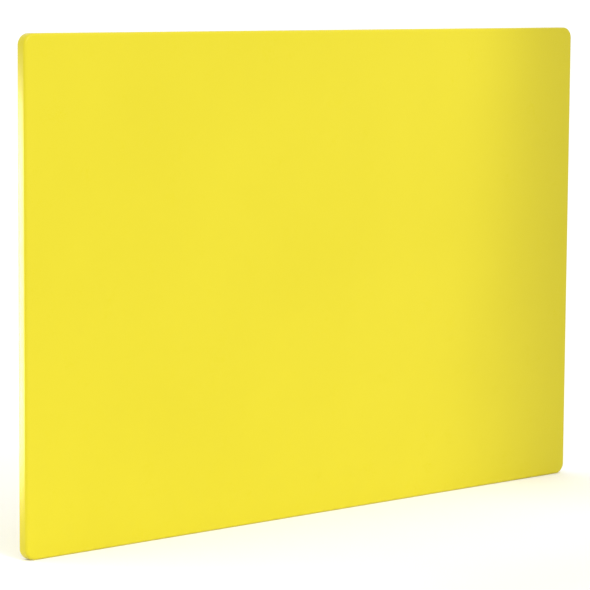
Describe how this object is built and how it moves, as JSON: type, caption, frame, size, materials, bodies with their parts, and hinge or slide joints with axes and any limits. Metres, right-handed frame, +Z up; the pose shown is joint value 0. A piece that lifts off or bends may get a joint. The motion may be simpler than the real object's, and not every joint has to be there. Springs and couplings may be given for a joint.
{
  "type": "welding curtain screen panel",
  "caption": "Flat rectangular welding screen panel: an opaque curtain pulled over a square tube frame with spring-button joints, open at the back.",
  "frame": {"origin": "middle of the bottom edge, halfway through the depth", "axes": "+X along the width, with the left end at -X as the front is faced; +Y from the front sheet towards the open back; +Z up"},
  "size_m": [1.83, 0.0346, 1.22],
  "materials": {
    "yellow_vinyl": "matt yellow vinyl-coated polyester, 0.6 mm",
    "galvanised_steel": "bright zinc-plated tube",
    "black_nylon": "moulded black nylon",
    "spring_steel": "bright spring steel",
    "aluminium_rivet": "plain aluminium",
    "stainless_screw": "stainless button head",
    "brass_grommet": "plated brass"
  },
  "bodies": {
    "screen": {"bottom_rail": "galvanised_steel", "centre_upright": "galvanised_steel", "corner_bottom_left": "black_nylon", "corner_bottom_right": "black_nylon", "corner_top_left": "black_nylon", "corner_top_right": "black_nylon", "curtain_edge_bottom": "yellow_vinyl", "curtain_edge_left": "yellow_vinyl", "curtain_edge_right": "yellow_vinyl", "curtain_edge_top": "yellow_vinyl", "curtain_front": "yellow_vinyl", "grommet_bottom_1": "brass_grommet", "grommet_bottom_2": "brass_grommet", "grommet_bottom_3": "brass_grommet", "grommet_bottom_4": "brass_grommet", "grommet_left_1": "brass_grommet", "grommet_left_2": "brass_grommet", "grommet_right_1": "brass_grommet", "grommet_right_2": "brass_grommet", "grommet_top_1": "brass_grommet", "grommet_top_2": "brass_grommet", "grommet_top_3": "brass_grommet", "grommet_top_4": "brass_grommet", "left_upright": "galvanised_steel", "post_socket_bottom": "black_nylon", "post_socket_top": "black_nylon", "rail_rivet_bottom_left": "aluminium_rivet", "rail_rivet_bottom_right": "aluminium_rivet", "rail_rivet_top_left": "aluminium_rivet", "rail_rivet_top_right": "aluminium_rivet", "right_upright": "galvanised_steel", "screw_bottom_1": "stainless_screw", "screw_bottom_2": "stainless_screw", "screw_bottom_3": "stainless_screw", "screw_bottom_4": "stainless_screw", "screw_left_1": "stainless_screw", "screw_left_2": "stainless_screw", "screw_right_1": "stainless_screw", "screw_right_2": "stainless_screw", "screw_top_1": "stainless_screw", "screw_top_2": "stainless_screw", "screw_top_3": "stainless_screw", "screw_top_4": "stainless_screw", "socket_rivet_bottom_left": "aluminium_rivet", "socket_rivet_bottom_right": "aluminium_rivet", "socket_rivet_top_left": "aluminium_rivet", "socket_rivet_top_right": "aluminium_rivet", "top_rail": "galvanised_steel"},
    "button_bottom_left": {"spring_button_bottom_left": "spring_steel"},
    "button_bottom_right": {"spring_button_bottom_right": "spring_steel"},
    "button_top_left": {"spring_button_top_left": "spring_steel"},
    "button_top_right": {"spring_button_top_right": "spring_steel"},
    "button_centre_bottom": {"spring_button_centre_bottom": "spring_steel"},
    "button_centre_top": {"spring_button_centre_top": "spring_steel"}
  },
  "joints": [
    {"name": "press_bottom_left", "type": "hinge", "parent": "screen", "child": "button_bottom_left", "pos_m": [-0.89112, -0.00208, 0.02477], "axis": [0, -1, 0], "range_deg": [0, 7.6], "stiffness_Nm_per_rad": 3, "springref_deg": -5.73},
    {"name": "press_bottom_right", "type": "hinge", "parent": "screen", "child": "button_bottom_right", "pos_m": [0.89112, -0.00208, 0.02477], "axis": [0, 1, 0], "range_deg": [0, 7.6], "stiffness_Nm_per_rad": 3, "springref_deg": -5.73},
    {"name": "press_top_left", "type": "hinge", "parent": "screen", "child": "button_top_left", "pos_m": [-0.89112, -0.00208, 1.19522], "axis": [0, 1, 0], "range_deg": [0, 7.6], "stiffness_Nm_per_rad": 3, "springref_deg": -5.73},
    {"name": "press_top_right", "type": "hinge", "parent": "screen", "child": "button_top_right", "pos_m": [0.89112, -0.00208, 1.19522], "axis": [0, -1, 0], "range_deg": [0, 7.6], "stiffness_Nm_per_rad": 3, "springref_deg": -5.73},
    {"name": "press_centre_bottom", "type": "hinge", "parent": "screen", "child": "button_centre_bottom", "pos_m": [0, 0.00502, 0.03107], "axis": [1, 0, 0], "range_deg": [0, 7.6], "stiffness_Nm_per_rad": 3, "springref_deg": -5.73},
    {"name": "press_centre_top", "type": "hinge", "parent": "screen", "child": "button_centre_top", "pos_m": [0, 0.00502, 1.18893], "axis": [-1, 0, 0], "range_deg": [0, 7.6], "stiffness_Nm_per_rad": 3, "springref_deg": -5.73}
  ]
}
